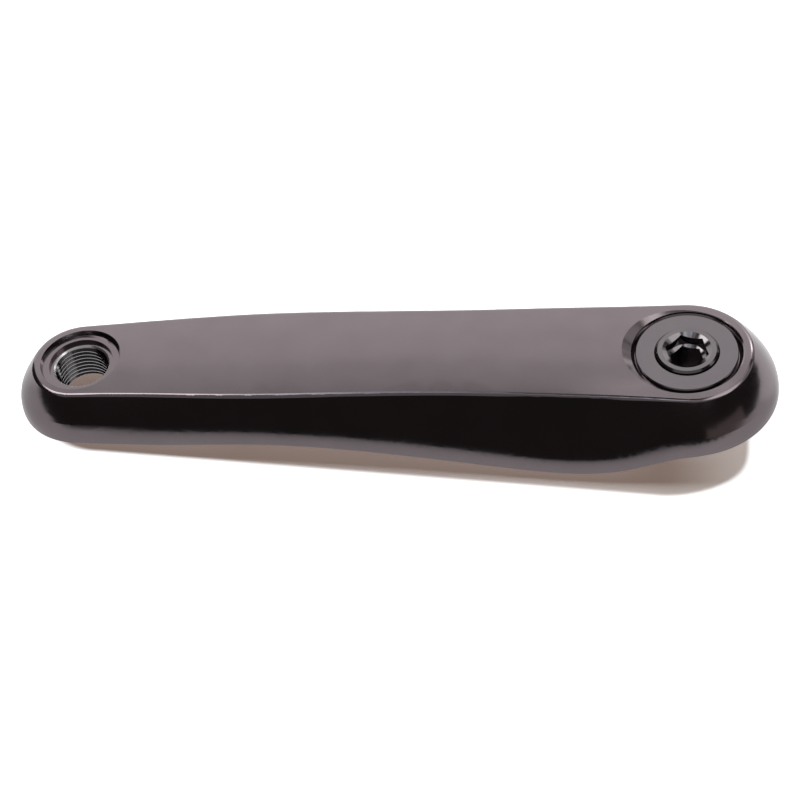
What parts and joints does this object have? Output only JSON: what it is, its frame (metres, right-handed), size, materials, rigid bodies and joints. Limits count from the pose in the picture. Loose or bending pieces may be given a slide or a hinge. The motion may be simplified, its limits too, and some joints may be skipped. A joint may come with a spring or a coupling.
{
  "type": "bicycle crank arm",
  "caption": "Tapered bicycle crank arm with a threaded pedal eye, a splined spindle socket and a captive hex-socket bolt held by a threaded cap ring.",
  "frame": {"origin": "on the spindle axis, in the seat face of the boss that meets the spindle's shoulder", "axes": "+Z outboard along the spindle axis, -X along the arm to the pedal eye"},
  "size_m": [0.2021, 0.0498, 0.0255],
  "materials": {
    "crank_arm": "smooth dark grey lacquer over forged aluminium",
    "extractor_cap": "satin dark grey anodised",
    "crank_bolt": "dark plated steel",
    "bolt_washer": "plain zinc-plated steel",
    "friction_washer": "matte"
  },
  "bodies": {
    "arm": {"crank_arm": "crank_arm", "extractor_cap": "extractor_cap", "bolt_washer": "bolt_washer", "friction_washer": "friction_washer"},
    "bolt": {"crank_bolt": "crank_bolt"}
  },
  "joints": [
    {"name": "bolt_spin", "type": "hinge", "parent": "arm", "child": "bolt", "pos_m": [0, 0, 0.0172], "axis": [0, 0, 1], "continuous": true}
  ]
}
